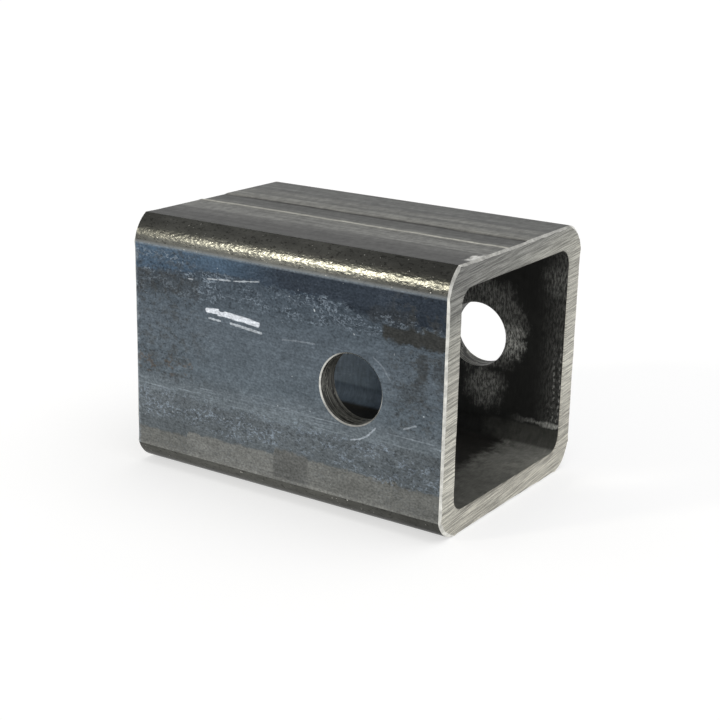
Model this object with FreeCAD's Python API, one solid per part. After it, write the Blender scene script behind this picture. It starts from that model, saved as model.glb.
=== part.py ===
import FreeCAD, Part
import math
import os

# Hitch receiver tube: a short length of welded square steel tube, saw-cut at both ends and
# cross-drilled through its two side walls for a hitch pin.
#
# Frame, in millimetres: X runs along the tube and +X points out of the mouth, Y runs along the
# pin hole, and Z is up. The tube lies on its flat underside at Z = 0, and the origin is under
# its middle.

Vector = FreeCAD.Vector

# Socket: a square shank slides into it from the mouth.
SHANK_WIDTH = 50.8              # two-inch shank
SHANK_CLEARANCE = 1.1           # opening minus shank
INNER_CORNER_RADIUS = 4.3

# Tube wall, and the corners that the forming rolls leave. A corner is an arc between two roll
# lines, one on each flat, and each roll line lies a setback away from the sharp corner.
WALL = 5.8
CORNER_SETBACK = 6.6            # every roll line but the next two
NEAR_TOP_SETBACK = 4.2          # on the top, at the near corner
NEAR_BOTTOM_SETBACK = 5.2       # on the near side, at the bottom corner
ROLL_LINE_ANGLE = 7.0           # degrees, the crease where an arc runs into its second flat

# Length, and the saw-cut ends with their edges filed off.
LENGTH = 88.9
OUTER_EDGE_BREAK = 0.5
INNER_EDGE_BREAK = 0.3

# Pin hole, drilled straight across through both side walls.
PIN_DIAMETER = 15.875           # five-eighths-inch hitch pin
PIN_CLEARANCE = 0.825           # hole minus pin, on the diameter
PIN_FROM_MOUTH = 24.8           # mouth end to the hole's axis
PIN_RIM_BREAK = 0.4

# Weld seam along the top wall, planed off to a shallow strip outside and inside.
SEAM_OFFSET = -1.6              # strip's middle, from the tube's middle along Y
SEAM_WIDTH = 9.2                # flat floor of the strip outside
SEAM_DEPTH = 0.2
SEAM_FLANK = 0.8                # run of each sloping side of a strip
SEAM_INNER_WIDTH = 6.0
SEAM_INNER_DEPTH = 0.15

OPENING = SHANK_WIDTH + SHANK_CLEARANCE
OUTER_WIDTH = OPENING + 2 * WALL
HALF_LENGTH = LENGTH / 2
HALF_WIDTH = OUTER_WIDTH / 2
PIN_X = HALF_LENGTH - PIN_FROM_MOUTH
PIN_RADIUS = (PIN_DIAMETER + PIN_CLEARANCE) / 2
OVERSHOOT = WALL                # how far a cutter runs past the faces it opens

# Setbacks where a corner begins, going round from the far side over the top to the near side.
OUTER_CORNERS = [CORNER_SETBACK, NEAR_TOP_SETBACK, NEAR_BOTTOM_SETBACK, CORNER_SETBACK]
INNER_CORNERS = [INNER_CORNER_RADIUS] * 4


def rounded_square(width, run_ins, run_out, crease, x):
    """Closed wire across the tube at X = x: four flats joined by corner arcs.

    An arc leaves its first flat one of the `run_ins` before the sharp corner and meets its
    second flat `run_out` behind it, at `crease` degrees. With no crease and equal runs it is
    tangent to both flats.
    """
    half = width / 2
    edges = []
    for quarter, run_in in enumerate(run_ins):
        bend = math.pi - 2 * math.radians(crease) - 2 * math.atan2(run_out, run_in)
        bulge = math.tan(bend / 4) / 2
        middle_y = half - run_out / 2 + bulge * run_in
        middle_z = half - run_in / 2 + bulge * run_out
        turn = FreeCAD.Rotation(Vector(1, 0, 0), 90 * quarter)
        start = turn.multVec(Vector(x, half, run_out - half))
        end = turn.multVec(Vector(x, half, half - run_in))
        middle = turn.multVec(Vector(x, middle_y, middle_z))
        after = turn.multVec(Vector(x, half - run_out, half))
        edges.append(Part.LineSegment(start, end).toShape())
        edges.append(Part.Arc(end, middle, after).toShape())
    return Part.Wire(edges)


def square_bar(width, run_ins, run_out, crease, flare):
    """Solid square bar over the tube's whole length, its end rims sloped at 45 degrees.

    Each side moves out by `flare` at the ends, so a negative flare breaks the bar's edges and a
    positive one gives a cutter that breaks the edges of its hole.
    """
    run = abs(flare)
    flared = [run_in + flare for run_in in run_ins]
    rim = rounded_square(width + 2 * flare, flared, run_out + flare, crease, -HALF_LENGTH)
    inset = rounded_square(width, run_ins, run_out, crease, run - HALF_LENGTH)
    shank = Part.Face(inset).extrude(Vector(LENGTH - 2 * run, 0, 0))
    rear = Part.makeLoft([rim, inset], True, True)
    mouth = rear.mirror(Vector(0, 0, 0), Vector(1, 0, 0))
    return shank.fuse([rear, mouth]).removeSplitter()


def pin_hole():
    """Cutter across both side walls, flared at the two outer faces by the rim break."""
    reach = HALF_WIDTH + OVERSHOOT
    wide = PIN_RADIUS + PIN_RIM_BREAK
    drill = Part.makeCylinder(PIN_RADIUS, 2 * reach, Vector(PIN_X, -reach, 0), Vector(0, 1, 0))
    rims = []
    for side in (-1, 1):
        face = Vector(PIN_X, side * HALF_WIDTH, 0)
        rims.append(Part.makeCone(wide, PIN_RADIUS, PIN_RIM_BREAK, face, Vector(0, -side, 0)))
    return drill.fuse(rims)


def seam_strip(width, depth, surface, inward):
    """Cutter for the planed strip: flat floor, sloping sides, open above the surface.

    `surface` is the height of the wall's face, and `inward` is +1 or -1 along Z, into the wall.
    """
    floor = surface + inward * depth
    clear = surface - inward * OVERSHOOT / 2
    low = SEAM_OFFSET - width / 2
    high = SEAM_OFFSET + width / 2
    outline = [
        (low, floor),
        (high, floor),
        (high + SEAM_FLANK, surface),
        (high + SEAM_FLANK, clear),
        (low - SEAM_FLANK, clear),
        (low - SEAM_FLANK, surface),
        (low, floor),
    ]
    section = Part.Face(Part.makePolygon([Vector(-HALF_LENGTH, y, z) for y, z in outline]))
    return section.extrude(Vector(LENGTH, 0, 0))


blank = square_bar(OUTER_WIDTH, OUTER_CORNERS, CORNER_SETBACK, ROLL_LINE_ANGLE, -OUTER_EDGE_BREAK)
tube = blank.cut([
    square_bar(OPENING, INNER_CORNERS, INNER_CORNER_RADIUS, 0, INNER_EDGE_BREAK),
    pin_hole(),
    seam_strip(SEAM_WIDTH, SEAM_DEPTH, HALF_WIDTH, -1),
    seam_strip(SEAM_INNER_WIDTH, SEAM_INNER_DEPTH, OPENING / 2, 1),
]).removeSplitter()
tube.translate(Vector(0, 0, HALF_WIDTH))

assert len(tube.Solids) == 1 and tube.isValid(), "the tube must be one valid solid"

os.makedirs("parts", exist_ok=True)
tube.Solids[0].exportStep("parts/receiver_tube.step")

box = tube.BoundBox
print("receiver tube %.2f x %.2f x %.2f mm, %.1f cm3"
      % (box.XLength, box.YLength, box.ZLength, tube.Volume / 1000))
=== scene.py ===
# %% [markdown]
# # A raw steel receiver tube
# A receiver tube is one piece of welded square steel tube, sawn to length and drilled across for a
# hitch pin. It is sold bare, so all of its looks come from how it was made: blue-grey mill scale
# from the rolls, a planed weld strip along the top, sawn ends, a drilled hole and a few scrapes.
#
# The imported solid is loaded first. It fixes every size, and the dressed tube keeps to its box.

# %% Load the frame
import math

import bmesh
import bpy
from mathutils import Matrix, Quaternion, Vector, noise


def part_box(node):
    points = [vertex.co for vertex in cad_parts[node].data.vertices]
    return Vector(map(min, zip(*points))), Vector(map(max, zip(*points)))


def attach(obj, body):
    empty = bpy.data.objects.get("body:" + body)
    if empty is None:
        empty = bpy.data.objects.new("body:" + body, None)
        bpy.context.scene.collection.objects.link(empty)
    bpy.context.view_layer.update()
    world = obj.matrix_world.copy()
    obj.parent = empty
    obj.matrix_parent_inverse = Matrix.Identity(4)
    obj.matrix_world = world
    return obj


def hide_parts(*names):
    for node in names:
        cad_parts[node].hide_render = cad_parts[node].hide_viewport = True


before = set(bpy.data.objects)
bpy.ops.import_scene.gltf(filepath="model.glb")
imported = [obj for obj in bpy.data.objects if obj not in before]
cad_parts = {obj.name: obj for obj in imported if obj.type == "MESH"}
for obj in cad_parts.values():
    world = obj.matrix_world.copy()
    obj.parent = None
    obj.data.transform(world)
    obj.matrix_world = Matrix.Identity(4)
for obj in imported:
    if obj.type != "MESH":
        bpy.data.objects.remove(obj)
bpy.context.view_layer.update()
low, high = (Vector(corner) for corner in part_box("receiver_tube"))
MM = 0.001
print("tube box in mm:", [round(side / MM, 2) for side in high - low])

# %% [markdown]
# ## Sizes that the dressing shares with the solid
# The box gives the length and the width. The rest are the solid's own values, repeated here in
# millimetres, because the skin is drawn again with finer detail than the solid has: a dressed
# surface needs real edges, waves and tool marks for the light to catch.

# %% Sizes in millimetres
LENGTH = (high.x - low.x) / MM
WIDTH = (high.y - low.y) / MM
AXIS_HEIGHT = WIDTH / 2
WALL = 5.8
CORNER_SETBACK = 6.6
NEAR_TOP_SETBACK, NEAR_BOTTOM_SETBACK = 4.2, 5.2
ROLL_LINE_ANGLE = math.radians(7)
INNER_RADIUS = 4.3
PIN_X = LENGTH / 2 - 24.8
PIN_RADIUS = 8.35
PIN_RIM_BREAK = 0.4
SEAM_LOW, SEAM_HIGH = -6.2, 3.0
SEAM_DEPTH = 0.2
SEAM_FLANK = 0.8
FLAT_END = WIDTH / 2 - CORNER_SETBACK
print("length %.1f, width %.1f, flats %.1f mm" % (LENGTH, WIDTH, 2 * FLAT_END))

# %% [markdown]
# ## The section
# A square tube could be a cube with bevelled edges, but forming rolls leave a crease where a flat
# runs into its corner, and they press the corners unevenly; a bevel makes them smooth and alike. So
# the loop is drawn as the strip was bent: a flat, extruded point by point, then an arc that `spin`
# turns about its own centre, four times over. The inside has the same number of points, so the ends
# can be bridged later.

# %% Draw a section loop
FLAT_STEPS, ARC_STEPS = 96, 20


def section_loop(half, run_ins, run_out, crease):
    """A bmesh with one closed loop of edges across the rear end, and the places of its roll lines.

    A corner leaves its first flat one of the `run_ins` before the sharp corner and meets its second
    flat `run_out` behind it, with a crease. Millimetres about the tube's axis.
    """
    bm = bmesh.new()
    roll_lines = []
    last = bm.verts.new((-LENGTH / 2, half, run_out - half))
    for quarter, run_in in enumerate(run_ins):
        turn = Matrix.Rotation(quarter * math.pi / 2, 3, "X")
        step = turn @ Vector((0, 0, (2 * half - run_in - run_out) / FLAT_STEPS))
        for _ in range(FLAT_STEPS):
            last = bmesh.ops.extrude_vert_indiv(bm, verts=[last])["verts"][0]
            bmesh.ops.translate(bm, verts=[last], vec=step)
        roll_lines.append(last.co.yz)
        bend = math.pi - 2 * crease - 2 * math.atan2(run_out, run_in)
        lean = math.pi / 2 - bend - crease
        radius = math.hypot(run_in, run_out) / 2 / math.sin(bend / 2)
        centre = last.co - turn @ Vector((0, math.cos(lean), math.sin(lean))) * radius
        arc = bmesh.ops.spin(bm, geom=[last], cent=centre, axis=(1, 0, 0), angle=bend, steps=ARC_STEPS)
        last = arc["geom_last"][0]
        roll_lines.append(last.co.yz)
    bmesh.ops.remove_doubles(bm, verts=bm.verts, dist=0.001)
    return bm, roll_lines


outer_corners = [CORNER_SETBACK, NEAR_TOP_SETBACK, NEAR_BOTTOM_SETBACK, CORNER_SETBACK]
outside, outer_lines = section_loop(WIDTH / 2, outer_corners, CORNER_SETBACK, ROLL_LINE_ANGLE)
inside, inner_lines = section_loop(WIDTH / 2 - WALL, [INNER_RADIUS] * 4, INNER_RADIUS, 0.0)
print("loop points:", len(outside.verts), len(inside.verts),
      "reach", max(v.co.y for v in outside.verts), max(v.co.z for v in outside.verts))

# %% [markdown]
# ## Flats that are not quite flat
# Real tube walls are dished by a tenth of a millimetre, and along the top the weld was planed off,
# which leaves a shallow strip with a fine ridge on one side. A sculpting brush would do it, but a
# section is the right place: each point of the loop moves inwards a little, and the extrusion
# carries that along the whole tube. Nothing moves outwards, so the tube keeps its box.

# %% Dish the flats and plane the weld strip
DISH = 0.10
NEAR_DROP = 0.10


def between(value, points):
    """Straight-line interpolation through (place, height) points."""
    for (x0, y0), (x1, y1) in zip(points, points[1:]):
        if value <= x1:
            share = max(0.0, (value - x0) / (x1 - x0))
            return y0 + (y1 - y0) * share
    return points[-1][1]


NEAR_TOP_LINE = WIDTH / 2 - NEAR_TOP_SETBACK
SEAM_PROFILE = [
    (-NEAR_TOP_LINE, 0.0),
    (-NEAR_TOP_LINE + 4, -NEAR_DROP),
    (SEAM_LOW - 1.6, -NEAR_DROP),
    (SEAM_LOW - 0.6, 0.0),
    (SEAM_LOW, -0.02),
    (SEAM_LOW + 0.6, -SEAM_DEPTH),
    (SEAM_HIGH, -SEAM_DEPTH),
    (SEAM_HIGH + SEAM_FLANK, -0.02),
    (FLAT_END - 4, -0.02),
    (FLAT_END, 0.0),
]
ON_FACE = WIDTH / 2 - 0.001
for v in outside.verts:
    x, y, z = v.co
    if abs(y) > ON_FACE:
        v.co.y -= math.copysign(DISH * max(0, 1 - (z / FLAT_END) ** 2), y)
    elif z < -ON_FACE:
        v.co.z += DISH * (1 - (y / FLAT_END) ** 2)
    elif z > ON_FACE:
        v.co.z += between(y, SEAM_PROFILE)
print("top of the tube between", round(min(v.co.z for v in outside.verts if v.co.z > 31), 3),
      "and", round(max(v.co.z for v in outside.verts), 3))

# %% [markdown]
# ## From loop to skin
# Extruding the loop station by station gives the outer and inner skins. The stations crowd together
# at the ends, where a file broke the sharp edge: the last loop is drawn in a little, and by an
# uneven amount, so the bright edge line is wider in some places than in others, as a hand leaves it.

# %% Extrude the two skins
OUTER_BREAK, INNER_BREAK = 0.5, 0.3
SLOW_WOBBLE, QUICK_WOBBLE = 0.45, 0.2
ROLL_LINE_EASE, ROLL_LINE_REACH = 0.5, 0.7
STATIONS = 44


def uneven(point, size, seed):
    """Smooth noise from -1 to 1 that changes over about `size` millimetres."""
    return noise.noise(Vector(point) / size + Vector((seed, 0, 0)))


def break_rim(points, roll_lines, amount, seed):
    """Draw a rim's points towards the axis by about `amount`, less at the roll lines."""
    for v in points:
        nearest = min((v.co.yz - line).length for line in roll_lines)
        share = 1 + SLOW_WOBBLE * uneven(v.co, 5.0, seed) + QUICK_WOBBLE * uneven(v.co, 1.5, seed)
        share *= 1 - ROLL_LINE_EASE * math.exp(-(nearest / ROLL_LINE_REACH) ** 2)
        scale = 1 - amount * share / max(abs(v.co.y), abs(v.co.z))
        v.co.y *= scale
        v.co.z *= scale


def extrude_skin(bm, roll_lines, amount, seed):
    """Extrude the loop from the rear end to the mouth, then break both end rims."""
    edge_break = abs(amount)
    rear_points = list(bm.verts)
    rim, at = list(bm.edges), -LENGTH / 2
    places = [-LENGTH / 2 + edge_break]
    places += [(i / STATIONS - 0.5) * LENGTH for i in range(1, STATIONS)]
    places += [LENGTH / 2 - edge_break, LENGTH / 2]
    for place in places:
        made = bmesh.ops.extrude_edge_only(bm, edges=rim)["geom"]
        points = {item for item in made if isinstance(item, bmesh.types.BMVert)}
        rim = [item for item in made
               if isinstance(item, bmesh.types.BMEdge) and points.issuperset(item.verts)]
        bmesh.ops.translate(bm, verts=list(points), vec=(place - at, 0, 0))
        at = place
    break_rim(rear_points, roll_lines, amount, seed)
    break_rim(points, roll_lines, amount, seed)


extrude_skin(outside, outer_lines, OUTER_BREAK, 3.0)
extrude_skin(inside, inner_lines, -INNER_BREAK, 9.0)
print("outer skin faces:", len(outside.faces), "inner skin faces:", len(inside.faces))

# %% [markdown]
# ## The sawn ends
# The two skins are joined in one mesh, and `bridge_loops` closes each end with a ring of wall. That
# ring is one face wide, so its edges are divided across the wall before a band saw's washboard is
# pressed into it: long shallow waves, a few hundredths of a millimetre deep, slightly slanted.

# %% Join the skins and saw the ends
ACROSS_WALL = 14
SAW_PITCH, SAW_DEPTH, SAW_SLANT = 2.3, 0.035, math.radians(5)
SAW_WANDER = 0.5

inner_mesh = bpy.data.meshes.new("inner_skin")
inside.to_mesh(inner_mesh)
outside.from_mesh(inner_mesh)
bpy.data.meshes.remove(inner_mesh)
inside.free()
for end in (-1, 1):
    rims = [e for e in outside.edges if e.is_boundary and e.verts[0].co.x * end > 0]
    ring = bmesh.ops.bridge_loops(outside, edges=rims)
    divided = bmesh.ops.subdivide_edges(outside, edges=ring["edges"], cuts=ACROSS_WALL)
    inner_points = [v for v in divided["geom_inner"] if isinstance(v, bmesh.types.BMVert)]
    for v in inner_points:
        line = v.co.z * math.cos(SAW_SLANT) - v.co.y * math.sin(SAW_SLANT)
        line += SAW_WANDER * uneven(v.co, 9.0, 21.0 + end)
        wave = 0.5 + 0.5 * math.sin(line * 2 * math.pi / SAW_PITCH)
        v.co.x -= end * SAW_DEPTH * wave * (0.6 + 0.4 * uneven(v.co, 6.0, 31.0))
bmesh.ops.recalc_face_normals(outside, faces=outside.faces)
open_edges = [e for e in outside.edges if not e.is_manifold]
print("tube faces:", len(outside.faces), "open edges:", len(open_edges))

# %% [markdown]
# ## The pin hole
# A drill leaves rings in the wall of its hole and a bright rim where the edge was broken. The hole
# could be bridged from circles, but cutting it is what the drill does: a round bar with those rings
# on it is spun about the pin's axis, and a Boolean takes it out of both side walls at once.

# %% Spin the drill and cut the hole
RING_PITCH, RING_DEPTH = 0.9, 0.09
RING_STEP, RING_STEPS = 0.25, 24
ROUND_STEPS = 112


def bore_radius(depth):
    """Radius of the hole at a depth below the outer face: a broken rim, then tool rings."""
    rim = max(0.0, PIN_RIM_BREAK - depth)
    ring = abs((depth / RING_PITCH) % 1 - 0.5) * 2
    return PIN_RADIUS + rim + RING_DEPTH * ring * (depth > PIN_RIM_BREAK)


drill = bmesh.new()
depths = [-1.0, 0.0, 0.15, 0.3, PIN_RIM_BREAK]
depths += [PIN_RIM_BREAK + RING_STEP * i for i in range(1, RING_STEPS + 1)]
outline = [(WIDTH / 2 - d, bore_radius(max(d, 0.0))) for d in depths]
outline = [(-y, r) for y, r in outline] + [(y, r) for y, r in reversed(outline)]
outline = [(outline[0][0], 0.0)] + outline + [(outline[-1][0], 0.0)]
profile = [drill.verts.new((PIN_X, y, r)) for y, r in outline]
edges = [drill.edges.new(pair) for pair in zip(profile, profile[1:])]
bmesh.ops.spin(drill, geom=profile + edges, cent=(PIN_X, 0, 0), axis=(0, 1, 0), angle=2 * math.pi,
               steps=ROUND_STEPS, use_merge=True)
bmesh.ops.remove_doubles(drill, verts=drill.verts, dist=0.0005)
bmesh.ops.recalc_face_normals(drill, faces=drill.faces)
print("drill faces:", len(drill.faces), "open edges:", sum(not e.is_manifold for e in drill.edges))


def to_object(bm, name):
    """Finish a bmesh drawn in millimetres about the tube's axis as an object in the shared frame."""
    bmesh.ops.translate(bm, verts=bm.verts, vec=(0, 0, AXIS_HEIGHT))
    bmesh.ops.scale(bm, verts=bm.verts, vec=(MM, MM, MM))
    mesh = bpy.data.meshes.new(name)
    bm.to_mesh(mesh)
    bm.free()
    piece = bpy.data.objects.new(name, mesh)
    bpy.context.collection.objects.link(piece)
    return piece


tube = to_object(outside, "raw_steel_tube")
cutter = to_object(drill, "drill")
cut = tube.modifiers.new("pin hole", "BOOLEAN")
cut.operation = "DIFFERENCE"
cut.solver = "EXACT"
cut.object = cutter
drilled = bpy.data.meshes.new_from_object(tube.evaluated_get(bpy.context.evaluated_depsgraph_get()))
tube.modifiers.clear()
tube.data = drilled
bpy.data.objects.remove(cutter)
print("drilled tube:", len(drilled.vertices), "points,", len(drilled.polygons), "faces")

# %% [markdown]
# ## A bench for finishes
# Every finish below is one Principled shader fed by procedural patterns. The patterns read Object
# coordinates, which stay on the steel from every side. The helper turns them into millimetres about
# the tube's axis, so that a scrape can be placed with a ruler, and it keeps the node calls short.

# %% Helper for building finishes
def shade(red, green, blue):
    """A colour as it looks on a screen, 0 to 255, turned into the linear values a shader takes."""
    levels = (red / 255, green / 255, blue / 255)
    return tuple(c / 12.92 if c <= 0.04045 else ((c + 0.055) / 1.055) ** 2.4 for c in levels) + (1.0,)


class Finish:
    """A material with one Principled shader, and short calls for the patterns that feed it."""

    def __init__(self, name, metallic, roughness):
        self.material = bpy.data.materials.new(name)
        self.material.use_nodes = True
        self.tree = self.material.node_tree
        self.shader = self.tree.nodes["Principled BSDF"]
        self.shader.inputs["Metallic"].default_value = metallic
        self.shader.inputs["Roughness"].default_value = roughness
        steel = self.add("ShaderNodeTexCoord").outputs["Object"]
        centred = self.vector("SUBTRACT", steel, (0, 0, AXIS_HEIGHT * MM))
        self.place = self.vector("SCALE", centred, 1 / MM)
        self.x, self.y, self.z = self.add("ShaderNodeSeparateXYZ", self.place).outputs

    def add(self, kind, *values, **settings):
        """Add a node. Values fill its inputs in order: sockets are linked, numbers are set."""
        node = self.tree.nodes.new(kind)
        for key, setting in settings.items():
            setattr(node, key, setting)
        for socket, value in zip(node.inputs, values):
            self.feed(socket, value)
        return node

    def feed(self, socket, value):
        """Link a socket to an input, or set a plain value on it."""
        if isinstance(value, bpy.types.NodeSocket):
            self.tree.links.new(value, socket)
        elif value is not None:
            socket.default_value = value

    def math(self, operation, a, b=None, clamp=False):
        return self.add("ShaderNodeMath", a, b, operation=operation, use_clamp=clamp).outputs[0]

    def vector(self, operation, a, b):
        node = self.add("ShaderNodeVectorMath", a, operation=operation)
        self.feed(node.inputs["Scale"] if operation == "SCALE" else node.inputs[1], b)
        return node.outputs["Value"] if operation in ("LENGTH", "DOT_PRODUCT") else node.outputs[0]

    def grain(self, size, detail=3.0, rough=0.5, shift=0.0):
        """Noise from 0 to 1 whose lumps are about `size` millimetres along X, Y and Z."""
        at = self.vector("MULTIPLY", self.place, tuple(1 / side for side in size))
        at = self.vector("ADD", at, (shift, shift * 0.7, shift * 1.3))
        node = self.add("ShaderNodeTexNoise")
        self.feed(node.inputs["Vector"], at)
        for key, value in (("Scale", 1.0), ("Detail", detail), ("Roughness", rough)):
            node.inputs[key].default_value = value
        return node.outputs["Fac"]

    def rise(self, value, start, end):
        """0 before `start`, 1 after `end`, smooth between. Start may be the larger one."""
        node = self.add("ShaderNodeMapRange", value, start, end, interpolation_type="SMOOTHSTEP")
        return node.outputs[0]

    def scaled(self, value, low, high):
        """Stretch a 0 to 1 value to low to high."""
        return self.add("ShaderNodeMapRange", value, 0.0, 1.0, low, high).outputs[0]

    def patch(self, x0, x1, z0, z1, soft, wander):
        """Mask of a rough rectangle on a side wall, its edges moved about by `wander`."""
        x = self.math("ADD", self.x, wander)
        z = self.math("ADD", self.z, wander)
        spans = []
        for value, start, end in ((x, x0, x1), (z, z0, z1)):
            after = self.rise(value, start - soft, start + soft)
            spans.append(self.math("MULTIPLY", after, self.rise(value, end + soft, end - soft)))
        return self.math("MULTIPLY", *spans)

    def stroke(self, start, end, width, fray):
        """Mask of a scrape on a side wall from start to end, as (x, z), its edge frayed."""
        run = Vector((end[0] - start[0], 0, end[1] - start[1]))
        flat = self.vector("MULTIPLY", self.place, (1, 0, 1))
        here = self.vector("SUBTRACT", flat, (start[0], 0, start[1]))
        along = self.vector("DOT_PRODUCT", here, tuple(run / run.length_squared))
        foot = self.vector("SCALE", tuple(run), self.math("ADD", along, 0.0, clamp=True))
        gap = self.vector("LENGTH", self.vector("SUBTRACT", here, foot), None)
        return self.rise(self.math("ADD", gap, fray), width, width * 0.6)

    def largest(self, masks):
        """The union of several masks."""
        whole = masks[0]
        for mask in masks[1:]:
            whole = self.math("MAXIMUM", whole, mask)
        return whole

    def mix(self, share, a, b):
        """Colour a where the share is 0, colour b where it is 1."""
        node = self.add("ShaderNodeMix", data_type="RGBA")
        for index, value in ((0, share), (6, a), (7, b)):
            self.feed(node.inputs[index], value)
        return node.outputs[2]

    def tint(self, colour, amount):
        """Multiply a colour by a grey amount."""
        plain = colour if isinstance(colour, bpy.types.NodeSocket) else colour[:3]
        return self.vector("SCALE", plain, amount)

    def bands(self, value, low, high, stops):
        """Colours along a value from low to high, given as (place, colour) stops."""
        spread = self.add("ShaderNodeMapRange", value, low, high).outputs[0]
        node = self.add("ShaderNodeValToRGB", spread)
        stripes = node.color_ramp.elements
        for _ in stops[2:]:
            stripes.new(0.5)
        for stripe, (place, colour) in zip(stripes, stops):
            stripe.position = (place - low) / (high - low)
            stripe.color = colour
        return node.outputs["Color"]

    def relief(self, height, depth, strength=1.0):
        """Bump from a 0 to 1 height, `depth` millimetres deep."""
        node = self.add("ShaderNodeBump", strength, depth * MM)
        self.feed(node.inputs["Height"], height)
        self.feed(self.shader.inputs["Normal"], node.outputs[0])

    def set(self, name, value):
        """Feed one of the shader's own inputs."""
        self.feed(self.shader.inputs[name], value)


print("finish helper ready")

# %% [markdown]
# ## Mill scale on the sides
# Hot-rolled strip comes out of the mill under a thin blue-grey oxide. The rolls drag it into long
# bands, it flakes off as specks, and brown patches show where it was damp. A painted image would
# fix all that to one view, so bands along the tube are mixed with noise stretched along it. The far
# wall comes from the same strip, so it has the same bands, turned end for end.

# %% Bands of scale on the sides
side = Finish("side_scale", metallic=1.0, roughness=0.4)
near = side.rise(side.y, 1.0, -1.0)
side.x = side.math("MULTIPLY", side.x, side.scaled(near, -1.0, 1.0))
ragged = side.scaled(side.grain((2.6, 2.6, 1.7), detail=5, rough=0.65, shift=2.0), -5.0, 5.0)
drift = side.scaled(side.grain((34, 12, 9), detail=2), -3.5, 3.5)
height = side.math("ADD", side.z, side.math("ADD", drift, side.math("MULTIPLY", ragged, 0.5)))
colour = side.bands(height, -27, 27, [
    (-27.0, shade(94, 100, 103)),
    (-12.5, shade(95, 101, 105)),
    (-10.8, shade(106, 114, 119)),
    (-8.0, shade(102, 110, 116)),
    (-4.5, shade(91, 100, 107)),
    (7.0, shade(93, 102, 110)),
    (14.0, shade(80, 89, 97)),
    (19.4, shade(70, 79, 88)),
    (20.4, shade(76, 93, 110)),
    (27.0, shade(80, 98, 115)),
])
navy_edge = side.math("ADD", height, side.scaled(side.rise(side.x, 5, 40), 0.0, 2.0))
navy = side.math("MULTIPLY", side.rise(side.x, -20, 2), side.rise(navy_edge, 19.0, 20.4))
colour = side.mix(navy, colour, shade(52, 59, 68))
print("side bands: nodes", len(side.tree.nodes))

# %% [markdown]
# Along the bottom the scale was rubbed to a plain grey in long blocks, each with its own upper
# edge. The edge is a sum of steps along the tube, and the tone follows the same blocks.

# %% Grey blocks along the bottom
BLOCKS = [(-28.0, 1.3), (-1.6, 1.7), (8.0, -0.8), (33.0, -0.6)]
edge = side.math("ADD", side.math("MULTIPLY", ragged, 0.25), -21.6)
for place, step in BLOCKS:
    here = side.rise(side.x, place - 0.4, place + 0.4)
    edge = side.math("ADD", edge, side.math("MULTIPLY", here, step))
rubbed = side.rise(side.math("SUBTRACT", edge, side.z), -0.3, 0.5)
blocks = side.bands(side.math("ADD", side.x, side.math("MULTIPLY", ragged, 0.3)), -45, 45, [
    (-45.0, shade(106, 107, 104)),
    (-28.6, shade(108, 109, 106)),
    (-27.6, shade(120, 121, 118)),
    (-2.2, shade(118, 119, 116)),
    (-1.2, shade(99, 100, 98)),
    (7.4, shade(101, 102, 100)),
    (8.6, shade(112, 113, 110)),
    (45.0, shade(109, 110, 107)),
])
colour = side.mix(rubbed, colour, blocks)
polished = side.rise(side.z, -25.4, -26.2)
colour = side.mix(side.math("MULTIPLY", polished, 0.5), colour, shade(134, 134, 130))
print("side blocks: nodes", len(side.tree.nodes))

# %% [markdown]
# Flaked specks gather in two bands, one under the top edge and one above the bottom edge. Round
# spots would look sprayed on, so a flake is the thin line where a noise crosses its middle value,
# broken up by a finer one.

# %% Flaked specks
upper = side.math("MULTIPLY", side.rise(height, 12, 15.5), side.rise(height, 20.6, 19.4))
lower = side.math("MULTIPLY", side.rise(height, -20, -18.5), side.rise(height, -9.5, -12.5))
calm = side.math("MULTIPLY", ragged, 0.4)
scuffed = side.patch(-46, -25, 21.4, 23.8, 0.6, calm)
speckled = side.math("ADD", side.largest([upper, lower, scuffed]), 0.12)
cracks = side.grain((1.4, 1.4, 0.85), detail=3, rough=0.6, shift=6.0)
cracks = side.math("ABSOLUTE", side.math("SUBTRACT", cracks, 0.5))
broken = side.rise(side.grain((0.8, 0.8, 0.6), detail=2, shift=33.0), 0.40, 0.52)
flakes = side.math("MULTIPLY", side.rise(cracks, 0.055, 0.025), broken)
patchy = side.rise(side.grain((9, 9, 4), detail=4, rough=0.6, shift=5.0), 0.38, 0.60)
flaked = side.math("MULTIPLY", speckled, side.math("MULTIPLY", flakes, patchy))
colour = side.mix(side.math("MULTIPLY", flaked, 0.75), colour, shade(130, 141, 152))
sheets = side.rise(side.grain((11, 11, 5), detail=7, rough=0.62, shift=30.0), 0.49, 0.52)
colour = side.tint(colour, side.scaled(sheets, 0.95, 1.05))
dull = side.math("MULTIPLY", upper, side.rise(side.x, -5, 15))
colour = side.tint(colour, side.scaled(dull, 1.0, 0.88))
print("side flakes: nodes", len(side.tree.nodes))

# %% [markdown]
# Water crept in at the two ends, so there the scale is grimy, pitted and brown, with a little rust.
# Each patch is a rectangle whose border wanders, and the far wall has only a trace of them.

# %% Grime, brown patches and rust
left = side.rise(side.x, -17, -30)
right = side.rise(side.x, 27, 33)
ends = side.math("MULTIPLY", side.math("ADD", left, right), side.rise(height, -10, -6))
grime = side.rise(side.grain((2.0, 2.0, 1.4), detail=5, rough=0.65, shift=12.0), 0.48, 0.62)
grime = side.math("MULTIPLY", side.math("MULTIPLY", ends, grime), 0.5)
colour = side.mix(grime, colour, shade(70, 71, 70))
pitted = side.scaled(side.math("MAXIMUM", ends, speckled), 0.25, 1.0)
pits = side.rise(side.grain((0.8, 0.8, 0.6), detail=3, rough=0.6, shift=40.0), 0.43, 0.37)
pits = side.math("MULTIPLY", pits, pitted)
colour = side.tint(colour, side.scaled(pits, 1.0, 0.66))

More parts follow.
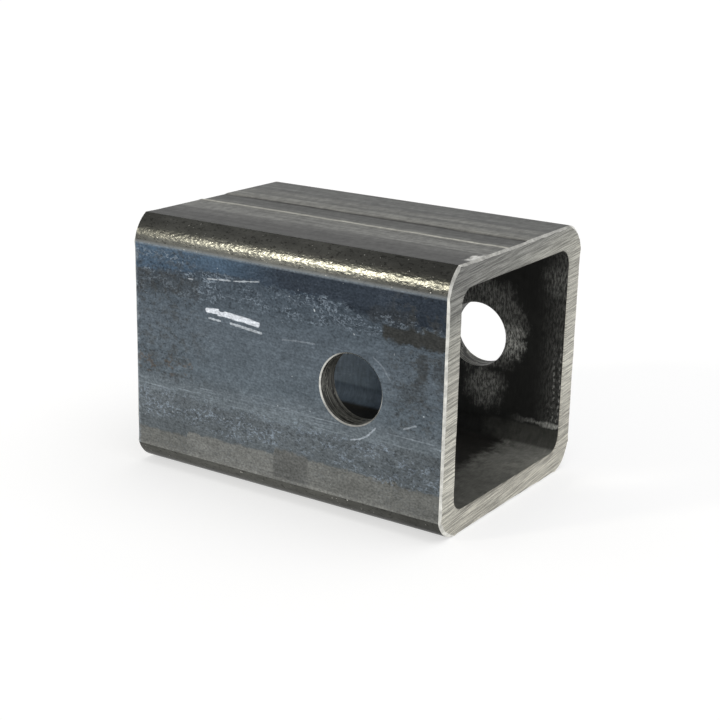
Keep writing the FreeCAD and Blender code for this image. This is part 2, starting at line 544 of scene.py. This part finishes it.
BROWN = [(-46, -24, 13.6, 18.6, 0.38, 0.4), (27.7, 46, 13.3, 16.8, 1.0, 0.4),
         (24, 36, 17.2, 20.6, 0.35, 0.6), (36.8, 39.6, 5, 12, 0.6, 0.6),
         (32.8, 39.4, 0, 4.5, 0.4, 0.9), (41.5, 46, 4, 12, 0.4, 0.8)]
damp = side.scaled(near, 0.35, 1.0)
for x0, x1, z0, z1, strength, wander in BROWN:
    brown = side.patch(x0, x1, z0, z1, 0.5, side.math("MULTIPLY", ragged, wander))
    brown = side.math("MULTIPLY", brown, damp)
    colour = side.mix(side.math("MULTIPLY", brown, strength), colour, shade(59, 60, 59))
rust = side.patch(-44, -27, -6, -2.5, 0.8, ragged)
spots = side.rise(side.grain((1.6, 1.6, 1.1), detail=4, shift=15.0), 0.52, 0.62)
rust = side.math("MULTIPLY", side.math("MULTIPLY", rust, spots), 0.6)
colour = side.mix(rust, colour, shade(88, 80, 72))
print("side patches: nodes", len(side.tree.nodes))

# %% [markdown]
# Handling left scrapes on the near wall: one broad bright one, a broken hairline above it, and a
# few fine curls around the hole. Each is a stroke between two points, with a frayed edge.

# %% Scrapes on the near wall
fray = side.scaled(side.grain((5.0, 5.0, 0.3), detail=4, rough=0.6, shift=20.0), -0.6, 0.6)
hair = side.scaled(side.grain((0.8, 0.8, 0.8), detail=3, shift=22.0), -0.25, 0.25)
BROAD = [((-21.5, 11.55), (-18.4, 11.7), 0.7), ((-18.2, 11.3), (-16.2, 11.3), 0.6),
         ((-16.2, 11.45), (-6.7, 10.6), 0.85)]
FINE = [((-27.4, 18.3), (-26.0, 18.4), 0.18), ((-21.3, 19.3), (-18.6, 19.5), 0.2),
        ((-17.9, 19.6), (-14.7, 19.8), 0.2), ((-13.6, 19.9), (-6.2, 20.9), 0.2),
        ((-21.2, 9.7), (-17.7, 9.5), 0.3), ((-14.5, 9.5), (-5.7, 8.7), 0.38)]
CURLS = [(0.75, [(20.2, -11.8), (22.6, -11.2), (24.8, -9.8), (26.6, -7.8)]),
         (0.2, [(25.6, 8.8), (28.2, 6.9), (29.9, 4.6)]), (0.25, [(0.6, 8.3), (3.6, 8.6), (9.6, 8.9)]),
         (0.45, [(34.2, -6.3), (37.2, -5.0)])]
broad = side.largest([side.stroke(start, end, width, fray) for start, end, width in BROAD])
fine = side.largest([side.stroke(start, end, width, hair) for start, end, width in FINE])
curls = []
for strength, curl in CURLS:
    line = side.largest([side.stroke(start, end, 0.25, hair) for start, end in zip(curl, curl[1:])])
    curls.append(side.math("MULTIPLY", line, strength))
curls = side.largest(curls)
print("side scrapes: nodes", len(side.tree.nodes))

# %% [markdown]
# The scrapes go over the scale in order of brightness, after the long streaks that the rolls drew.
# Last come a few bright dots, a light line along the roll line that is a painted highlight, and a
# light line where the rear edge was rubbed.

# %% Streaks, scrapes and rubbed edges
streaks = side.rise(side.grain((16, 16, 0.45), detail=4, rough=0.6, shift=50.0), 0.54, 0.66)
drawn = side.math("MULTIPLY", side.rise(side.z, -12.5, -10.5), side.rise(side.z, -7.0, -8.5))
streaks = side.math("MULTIPLY", streaks, side.math("MULTIPLY", drawn, 0.75))
colour = side.mix(streaks, colour, shade(140, 149, 156))
colour = side.mix(side.math("MULTIPLY", curls, near), colour, shade(170, 178, 186))
fine = side.math("MULTIPLY", fine, side.math("MULTIPLY", near, 0.6))
colour = side.mix(fine, colour, shade(200, 206, 212))
colour = side.mix(side.math("MULTIPLY", broad, near), colour, shade(214, 219, 226))
dots = side.rise(side.grain((0.9, 0.9, 0.9), detail=1, shift=25.0), 0.80, 0.82)
colour = side.mix(side.math("MULTIPLY", dots, 0.7), colour, shade(190, 196, 200))
# The light line along the upper roll line is a painted highlight; the one at the rear edge is wear.
roll_line_highlight = side.math("MULTIPLY", side.rise(side.z, 24.5, 25.0), 0.5)
worn = side.rise(side.math("ADD", side.x, side.math("MULTIPLY", ragged, 0.3)), -43.2, -44.0)
highlight_and_wear = side.math("MAXIMUM", roll_line_highlight, side.math("MULTIPLY", worn, 0.6))
colour = side.mix(highlight_and_wear, colour, shade(140, 148, 154))
print("side edges: nodes", len(side.tree.nodes))

# %% [markdown]
# The last layer is fine: drawn lines along the tube, grain of half a millimetre, and a tone that
# wanders over centimetres. It shades the colour, and a little of it goes into the relief.

# %% Grain of the sides
lines = side.grain((45, 3, 0.4), detail=3, shift=8.0)
fine = side.grain((0.6, 0.6, 0.45), detail=2, shift=3.0)
mottle = side.grain((2.0, 2.0, 1.4), detail=6, rough=0.7, shift=1.0)
tone = side.grain((16, 16, 7), detail=3, shift=9.0)
amount = side.math("MULTIPLY", side.scaled(lines, 0.75, 1.25), side.scaled(fine, 0.35, 1.65))
amount = side.math("MULTIPLY", amount, side.scaled(mottle, 0.55, 1.45))
amount = side.math("MULTIPLY", amount, side.scaled(tone, 0.85, 1.15))
amount = side.math("MULTIPLY", amount, side.scaled(right, 1.05, 0.98))
side.set("Base Color", side.tint(colour, amount))
side.set("Roughness", side.scaled(mottle, 0.24, 0.60))
side.relief(side.math("ADD", fine, flaked), 0.02, 0.4)
print("side finish: nodes", len(side.tree.nodes))

# %% [markdown]
# ## The top
# The same scale is painted lighter and greyer on the top, a painted reflection that stands for the
# brighter glancing light there, and the planing of the weld scraped long lanes into it.
# The lanes are bands across the tube, with fine lines drawn along them. At the mouth the saw left a
# small bright burr.

# %% Finish of the top
top = Finish("top_scale", metallic=1.0, roughness=0.42)
wave = top.scaled(top.grain((16, 40, 40), detail=3), -1.2, 1.2)
across = top.math("ADD", top.y, wave)
# The lanes are painted lighter than the scale on the sides: a painted reflection for the top's
# brighter glancing light.
colour = top.bands(across, -28, 26, [
    (-28.0, shade(78, 78, 76)),
    (-21.0, shade(87, 87, 85)),
    (-15.6, shade(108, 108, 105)),
    (-14.4, shade(130, 130, 126)),
    (-11.0, shade(130, 130, 126)),
    (-9.0, shade(126, 126, 122)),
    (-7.0, shade(134, 134, 129)),
    (-6.4, shade(200, 198, 186)),
    (-5.3, shade(195, 193, 181)),
    (-4.5, shade(120, 120, 116)),
    (-2.0, shade(90, 91, 88)),
    (2.4, shade(88, 89, 86)),
    (3.0, shade(64, 64, 63)),
    (3.7, shade(140, 139, 132)),
    (8.2, shade(130, 130, 125)),
    (9.6, shade(98, 99, 96)),
    (11.0, shade(124, 124, 119)),
    (13.9, shade(122, 122, 118)),
    (15.5, shade(94, 95, 93)),
    (17.5, shade(106, 107, 104)),
    (26.0, shade(104, 105, 102)),
])
burr = top.math("ADD", top.x, top.scaled(top.grain((1.5, 2.5, 2), detail=4, shift=15.0), -3.0, 3.0))
burr = top.math("MULTIPLY", top.rise(burr, 42.0, 43.2),
                top.math("MULTIPLY", top.rise(top.y, -23.5, -21), top.rise(top.y, -14, -17)))
colour = top.mix(burr, colour, shade(232, 231, 226))
lines = top.grain((50, 0.9, 3), detail=3, shift=4.0)
fine = top.grain((1.3, 1.9, 1), detail=3, rough=0.6, shift=6.0)
tone = top.grain((14, 4, 6), detail=4, rough=0.6, shift=9.0)
amount = top.math("MULTIPLY", top.scaled(lines, 0.4, 1.6), top.scaled(fine, 0.2, 1.8))
amount = top.math("MULTIPLY", amount, top.scaled(tone, 0.6, 1.4))
top.set("Base Color", top.tint(colour, amount))
top.set("Specular Tint", (0.8, 0.8, 0.8, 1.0))
top.relief(lines, 0.015, 0.5)
print("top finish: nodes", len(top.tree.nodes))

# %% [markdown]
# ## The corners
# The rolls rubbed the corners smooth, so they mirror a lamp as one long highlight, and it sparkles
# because the steel is dimpled. Noise of many sizes would only look rougher, so the dimples have one
# size, about a millimetre, which the light can pick out one by one.

# %% Finish of the corners
corner = Finish("corner_scale", metallic=1.0, roughness=0.23)
dimples = corner.grain((1.1, 0.6, 0.6), detail=1, rough=0.4, shift=2.0)
tone = corner.grain((6, 2, 2), detail=5, rough=0.65, shift=7.0)
pits = corner.rise(corner.grain((0.9, 0.6, 0.6), detail=3, rough=0.6, shift=17.0), 0.43, 0.38)
amount = corner.math("MULTIPLY", corner.scaled(pits, 1.0, 0.55), corner.scaled(tone, 0.4, 1.6))
# The corners are painted darker towards both ends, a painted shade that fades the highlight there, and
# the bottom corners are painted darker, painted shade where they face the floor.
highlight_middle = corner.rise(corner.math("ABSOLUTE", corner.math("ADD", corner.x, 9.0)), 52, 15)
amount = corner.math("MULTIPLY", amount, corner.scaled(highlight_middle, 0.62, 1.0))
amount = corner.math("MULTIPLY", amount, corner.scaled(corner.rise(corner.z, -20, 20), 0.78, 1.0))
chips = corner.rise(corner.grain((0.8, 0.6, 0.6), detail=2, shift=11.0), 0.705, 0.745)
colour = corner.tint(shade(106, 106, 101), amount)
# A light line along the roll line of the top corners is a painted highlight.
roll_line_highlight = corner.rise(corner.z, 25.9, 25.3)
roll_line_highlight = corner.math("MULTIPLY", roll_line_highlight, corner.rise(corner.z, 0.0, 20.0))
colour = corner.mix(corner.math("MULTIPLY", roll_line_highlight, 0.4), colour, shade(150, 156, 160))
corner.set("Base Color", corner.mix(chips, colour, shade(205, 203, 196)))
corner.set("Specular Tint", (0.6, 0.6, 0.6, 1.0))
corner.relief(dimples, 0.055, 1.0)
print("corner finish: nodes", len(corner.tree.nodes))

# %% [markdown]
# ## The inside
# Inside, the scale is dull, so it scatters light more than it mirrors it. The floor is dusty, and the
# walls are nearly black towards the mouth and bluer at the rear, where light flecks lie on them. The
# rear is also painted lighter, partly painted light from the open rear end, and the foot of the walls
# and the floor deeper in are painted in shade. The colours follow the depth into the tube, with a
# ragged border.

# %% Finish of the inside
inner = Finish("inner_scale", metallic=0.1, roughness=0.7)
inner.set("Specular IOR Level", 0.25)
tone = inner.grain((3, 3, 3), detail=6, rough=0.7, shift=1.0)
ragged = inner.scaled(tone, -6.0, 6.0)
depth = inner.math("ADD", inner.x, ragged)
# Lighter towards the rear, partly painted light from the open rear end; nearly black towards the
# mouth.
colour = inner.bands(depth, -30, 30, [
    (-30.0, shade(116, 128, 141)),
    (-6.0, shade(98, 113, 128)),
    (6.0, shade(46, 47, 46)),
    (30.0, shade(41, 41, 39)),
])
# The fillet at the foot of each wall is painted in shade: darkest in the middle of the tube and
# lighter towards both ends, where light comes in.
fillet_shade_tone = inner.bands(depth, -30, 40, [
    (-8.0, shade(84, 97, 111)),
    (6.0, shade(34, 34, 32)),
    (22.0, shade(34, 34, 32)),
    (34.0, shade(78, 78, 73)),
])
colour = inner.mix(inner.rise(inner.z, -20.5, -21.5), colour, fillet_shade_tone)
dusty = inner.mix(inner.rise(inner.y, -8, 20), shade(93, 93, 88), shade(126, 126, 120))
# Deeper in, the floor is painted dark, a painted shadow beyond where light from the mouth reaches; by
# the mouth it is dusty.
floor_dust_and_shadow = inner.mix(inner.rise(depth, 28, 34), shade(44, 43, 40), dusty)
colour = inner.mix(inner.rise(inner.z, -25.2, -25.8), colour, floor_dust_and_shadow)
flecks_and_glints = inner.rise(inner.grain((1.1, 1.1, 0.5), detail=4, rough=0.65, shift=27.0), 0.54, 0.68)
rear_wall = inner.math("MULTIPLY", inner.rise(inner.x, 2, -6), inner.rise(inner.z, -22, -18))
flecks_and_glints = inner.math("MULTIPLY", flecks_and_glints, inner.math("MULTIPLY", rear_wall, 0.25))
colour = inner.mix(flecks_and_glints, colour, shade(170, 184, 198))
print("inside scale: nodes", len(inner.tree.nodes))

# %% [markdown]
# The drill's burr scuffed the wall beside the hole, and a cutter left a comb of short upright marks
# just inside the mouth. Real dents that fine would cost many faces, so both are masks of bright
# steel: rings of scuffs around a place, and two crossed sets of stripes. The same bright steel also
# paints light by the mouth: a painted highlight along the wall just above the fillet, and a faint
# painted light on the walls towards the mouth, broken up by the scuffs.

# %% Scuffs inside the mouth
flat = inner.vector("MULTIPLY", inner.place, (1, 0, 1))
scuffs = inner.rise(inner.grain((0.45, 0.6, 1.5), detail=5, rough=0.7, shift=14.0), 0.40, 0.64)


def scuff(x, z, start, end, strength):
    """Mask of scuffs round a place on a side wall, from full at `start` to none at `end`."""
    gap = inner.vector("LENGTH", inner.vector("SUBTRACT", flat, (x, 0, z)), None)
    close = inner.rise(inner.math("ADD", gap, ragged), end, start)
    return inner.math("MULTIPLY", close, inner.scaled(scuffs, 0.1 * strength, strength))


SCUFFS = [(PIN_X + 9.6, 0.0, 2.5, 6.0, 1.0), (PIN_X + 2.0, 3.0, 9.5, 14.0, 0.35),
          (PIN_X + 3.0, -13.0, 2.0, 7.5, 0.5), (43.0, 17.5, 1.0, 7.0, 0.35)]
marks_and_highlight = [scuff(*place) for place in SCUFFS]


def stripes(value, pitch, start, end):
    """Stripes across a value, `pitch` millimetres apart: a sine wave cut between start and end."""
    shaken = inner.math("ADD", value, inner.math("MULTIPLY", ragged, 0.3))
    wave = inner.math("SINE", inner.math("MULTIPLY", shaken, 2 * math.pi / pitch))
    return inner.rise(wave, start, end)


above_foot = inner.rise(inner.z, -20.5, -19.5)
comb = inner.math("MULTIPLY", stripes(inner.x, 1.6, 0.1, 0.9), stripes(inner.z, 1.7, -0.7, 0.3))
by_mouth = inner.math("MULTIPLY", inner.rise(inner.x, 39.5, 43.0), above_foot)
comb = inner.math("MULTIPLY", comb, by_mouth)
comb = inner.math("MULTIPLY", comb, inner.rise(inner.z, 14, -12))
marks_and_highlight.append(inner.math("MULTIPLY", comb, inner.scaled(scuffs, 0.1, 0.7)))
# Towards the mouth the walls are painted a little lighter, broken up by the scuffs: painted light from
# the mouth.
mouth_light = inner.math("MULTIPLY", inner.rise(inner.x, 36, 44), above_foot)
marks_and_highlight.append(inner.math("MULTIPLY", mouth_light, inner.scaled(scuffs, 0.01, 0.16)))
# A bright line along the wall just above the fillet by the mouth is a painted highlight.
fillet_edge_highlight = inner.math("ABSOLUTE", inner.math("ADD", inner.z, 20.0))
fillet_edge_highlight = inner.math("ADD", fillet_edge_highlight, inner.math("MULTIPLY", ragged, 0.3))
fillet_edge_highlight = inner.math("MULTIPLY", inner.rise(fillet_edge_highlight, 1.0, 0.2), inner.rise(inner.x, 29, 45))
marks_and_highlight.append(inner.math("MULTIPLY", fillet_edge_highlight, inner.scaled(scuffs, 0.3, 1.0)))
colour = inner.mix(inner.largest(marks_and_highlight), colour, shade(238, 238, 230))
drawn = inner.grain((0.5, 2, 4), detail=4, rough=0.65, shift=19.0)
amount = inner.math("MULTIPLY", inner.scaled(tone, 0.3, 1.7), inner.scaled(drawn, 0.5, 1.5))
inner.set("Base Color", inner.tint(colour, amount))
inner.relief(tone, 0.1, 0.7)
print("inside finish: nodes", len(inner.tree.nodes))

# %% [markdown]
# ## Cut steel
# A saw, a drill and a file each leave bare bright steel. The saw draws lines a little off level, the
# drill leaves rings, and the file polishes the edges. The sawn ends are painted darker towards the
# top: painted shade that stands for how the saw lines reflect the light there.
# The deepest marks are already in the mesh, so these finishes add only the fine ones.

# %% Finish of the sawn ends
sawn = Finish("sawn_steel", metallic=1.0, roughness=0.45)
# Darker towards the top: painted shade.
painted_shade_height = sawn.math("SUBTRACT", sawn.z, sawn.math("MULTIPLY", sawn.y, 0.25))
colour = sawn.bands(painted_shade_height, -40, 40, [
    (-40.0, shade(186, 183, 172)),
    (-25.0, shade(172, 169, 159)),
    (-12.0, shade(188, 186, 176)),
    (6.0, shade(178, 176, 167)),
    (22.0, shade(158, 157, 149)),
    (28.0, shade(136, 136, 131)),
    (36.0, shade(116, 116, 113)),
])
level = sawn.math("SUBTRACT", sawn.z, sawn.math("MULTIPLY", sawn.y, math.tan(SAW_SLANT)))
sawn.place = sawn.add("ShaderNodeCombineXYZ", sawn.x, sawn.y, level).outputs[0]
teeth = sawn.rise(sawn.grain((3, 10, 0.24), detail=3, rough=0.65, shift=2.0), 0.34, 0.66)
swath = sawn.grain((3, 40, 1.6), detail=2, shift=6.0)
fine = sawn.grain((0.5, 0.9, 0.25), detail=2, shift=3.0)
amount = sawn.math("MULTIPLY", sawn.scaled(teeth, 0.57, 1.55), sawn.scaled(swath, 0.85, 1.15))
amount = sawn.math("MULTIPLY", amount, sawn.scaled(fine, 0.7, 1.3))
sawn.set("Base Color", sawn.tint(colour, amount))
sawn.relief(teeth, 0.05, 0.8)
print("sawn finish: nodes", len(sawn.tree.nodes))

# %% [markdown]
# In the hole the drill's rings are darker and smeared, with a few bright flecks, which are partly
# painted glints. The filed rims and edges are the brightest steel of all. Both could be one finish,
# but only the bore has a direction.

# %% Finish of the bore and the filed edges
bore = Finish("drilled_steel", metallic=0.5, roughness=0.45)
rings = bore.rise(bore.grain((9, 0.26, 9), detail=3, rough=0.6, shift=4.0), 0.42, 0.60)
smear = bore.grain((2.5, 1.5, 2.5), detail=4, rough=0.6, shift=8.0)
amount = bore.math("MULTIPLY", bore.scaled(rings, 0.15, 1.85), bore.scaled(smear, 0.2, 1.8))
# Bright flecks in the bore, partly painted glints where it would catch the light.
flecks_and_glints = bore.rise(bore.grain((1.3, 0.6, 1.3), detail=3, rough=0.6, shift=21.0), 0.57, 0.65)
colour = bore.tint(shade(98, 98, 93), amount)
colour = bore.mix(bore.math("MULTIPLY", flecks_and_glints, 0.4), colour, shade(186, 185, 176))
bore.set("Base Color", colour)
bore.relief(rings, 0.05, 0.8)

filed = Finish("filed_edge", metallic=1.0, roughness=0.3)
tone = filed.grain((1.4, 1.4, 1.4), detail=4, rough=0.6, shift=4.0)
filed.set("Base Color", filed.tint(shade(212, 211, 205), filed.scaled(tone, 0.3, 1.7)))
print("bore and edges: nodes", len(bore.tree.nodes), len(filed.tree.nodes))

# %% [markdown]
# ## Each face gets its finish
# The finishes meet at real borders: roll lines, filed edges and the rim of the hole. So a face is
# sorted by where it lies and which way it looks, and no mask has to be painted.

# %% Sort the faces
FINISHES = [side, top, corner, inner, sawn, bore, filed]
NEAR_BOTTOM_LINE = WIDTH / 2 - NEAR_BOTTOM_SETBACK
FACES_END, FACES_SIDE = 0.9, 0.95
SHARP_EDGE = math.radians(22)


def finish_of(face):
    """The finish of one face of the tube, from its middle in millimetres about the axis."""
    x, y, z = face.center / MM - Vector((0, 0, AXIS_HEIGHT))
    at_rim = abs(y) > WIDTH / 2 - PIN_RIM_BREAK
    if math.hypot(x - PIN_X, z) < PIN_RADIUS + PIN_RIM_BREAK and abs(face.normal.y) < FACES_SIDE:
        return filed if at_rim else bore
    if abs(face.normal.x) > FACES_END:
        return sawn
    if max(abs(y), abs(z)) < WIDTH / 2 - WALL / 2:
        return sawn if abs(x) > LENGTH / 2 - INNER_BREAK else inner
    if abs(x) > LENGTH / 2 - OUTER_BREAK:
        return filed
    if z > 0 and -NEAR_TOP_LINE < y < FLAT_END:
        return top
    bottom_line = NEAR_BOTTOM_LINE if y < 0 else FLAT_END
    on_side = -bottom_line < z < FLAT_END
    on_bottom = z < 0 and abs(y) < FLAT_END
    return side if on_side or on_bottom else corner


for finish in FINISHES:
    drilled.materials.append(finish.material)
places = [FINISHES.index(finish_of(face)) for face in drilled.polygons]
drilled.polygons.foreach_set("material_index", places)
drilled.shade_smooth()
drilled.set_sharp_from_angle(angle=SHARP_EDGE)
for index, finish in enumerate(FINISHES):
    print("%-14s %6d faces" % (finish.material.name, places.count(index)))
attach(tube, "root")
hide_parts("receiver_tube")

# %% [markdown]
# ## Studio
# The tube lies on a pale floor. The floor is grey paint that glows a little where the camera or a
# mirror looks at it, so it shows white and still keeps the shadow, but throws no extra light.

# %% Floor
FLOOR_REACH = 6.0
FLOOR_GLOW = 0.58

floor_bm = bmesh.new()
bmesh.ops.create_grid(floor_bm, x_segments=1, y_segments=1, size=FLOOR_REACH)
floor_mesh = bpy.data.meshes.new("floor")
floor_bm.to_mesh(floor_mesh)
floor_bm.free()
floor = bpy.data.objects.new("floor", floor_mesh)
bpy.context.collection.objects.link(floor)

paint = bpy.data.materials.new("floor_paint")
paint.use_nodes = True
nodes, links = paint.node_tree.nodes, paint.node_tree.links
matt = nodes["Principled BSDF"]
matt.inputs["Base Color"].default_value = (0.5, 0.5, 0.5, 1.0)
matt.inputs["Roughness"].default_value = 0.9
matt.inputs["Specular IOR Level"].default_value = 0.0
matt.inputs["Emission Color"].default_value = (1.0, 1.0, 1.0, 1.0)
path = nodes.new("ShaderNodeLightPath")
seen = path.outputs["Is Camera Ray"]
for ray in ("Is Glossy Ray", "Is Transmission Ray"):
    either = nodes.new("ShaderNodeMath")
    either.operation = "MAXIMUM"
    links.new(seen, either.inputs[0])
    links.new(path.outputs[ray], either.inputs[1])
    seen = either.outputs[0]
lift = nodes.new("ShaderNodeMath")
lift.operation = "MULTIPLY"
lift.inputs[1].default_value = FLOOR_GLOW
links.new(seen, lift.inputs[0])
links.new(lift.outputs[0], matt.inputs["Emission Strength"])
floor_mesh.materials.append(paint)
print("floor", tuple(round(reach, 1) for reach in floor.dimensions))

# %% [markdown]
# Two distant lamps do the work: a small warm one in front on the left, which draws the long highlight
# on the near corner, and a broad one overhead, which reaches a little way into the mouth. The room is
# darker above than at the horizon, and that dark ceiling is what the corner mirrors beside its
# highlight. Lamps near the tube would light it unevenly, so both stand far away.

# %% Room light
world = bpy.data.worlds.new("studio")
bpy.context.scene.world = world
world.use_nodes = True
nodes, links = world.node_tree.nodes, world.node_tree.links
direction = nodes.new("ShaderNodeTexCoord")
up = nodes.new("ShaderNodeSeparateXYZ")
ceiling = nodes.new("ShaderNodeValToRGB")
links.new(direction.outputs["Generated"], up.inputs[0])
links.new(up.outputs["Z"], ceiling.inputs[0])
links.new(ceiling.outputs["Color"], nodes["Background"].inputs["Color"])
CEILING = [(0.15, 1.0), (0.35, 0.75), (0.55, 0.40), (1.0, 0.35)]
for _ in CEILING[2:]:
    ceiling.color_ramp.elements.new(0.5)
for element, (upward, level) in zip(ceiling.color_ramp.elements, CEILING):
    element.position = upward
    element.color = (level, level, level, 1.0)


def distant_lamp(name, towards, spread, strength, colour):
    """A lamp far away, `spread` degrees wide in the sky, standing in the direction `towards`."""
    lamp = bpy.data.lights.new(name, "SUN")
    lamp.angle = math.radians(spread)
    lamp.energy = strength
    lamp.color = colour
    holder = bpy.data.objects.new(name, lamp)
    holder.rotation_euler = Vector(towards).to_track_quat("Z", "Y").to_euler()
    bpy.context.collection.objects.link(holder)


distant_lamp("front_left", (-0.512, -0.755, 0.408), 7, 0.56, (1.0, 0.95, 0.80))
distant_lamp("overhead", (0.22, 0.10, 0.97), 60, 1.15, (1.0, 1.0, 1.0))
print("lamps:", [lamp.name for lamp in bpy.data.lights])

# %% [markdown]
# ## Camera
# The viewpoint was worked out from the tube's own corners and hole in the picture: about 37 cm away,
# a little to the right of the near side and looking slightly down, with a short telephoto lens.

# %% Camera at the picture's view
view = bpy.data.cameras.new("view")
view.lens = 75.975
view.sensor_width = 36.0
camera = bpy.data.objects.new("view", view)
camera.location = (0.200319, -0.301958, 0.138595)
AIM = Vector((0.0078068, -0.010, 0.0312585))
ROLL = math.radians(1.363)
aimed = (AIM - camera.location).to_track_quat("-Z", "Y") @ Quaternion((0, 0, 1), ROLL)
camera.rotation_euler = aimed.to_euler()
bpy.context.collection.objects.link(camera)
bpy.context.scene.camera = camera
bpy.context.scene.view_settings.view_transform = "Standard"
print("camera to tube: %.3f m" % (AIM - camera.location).length)
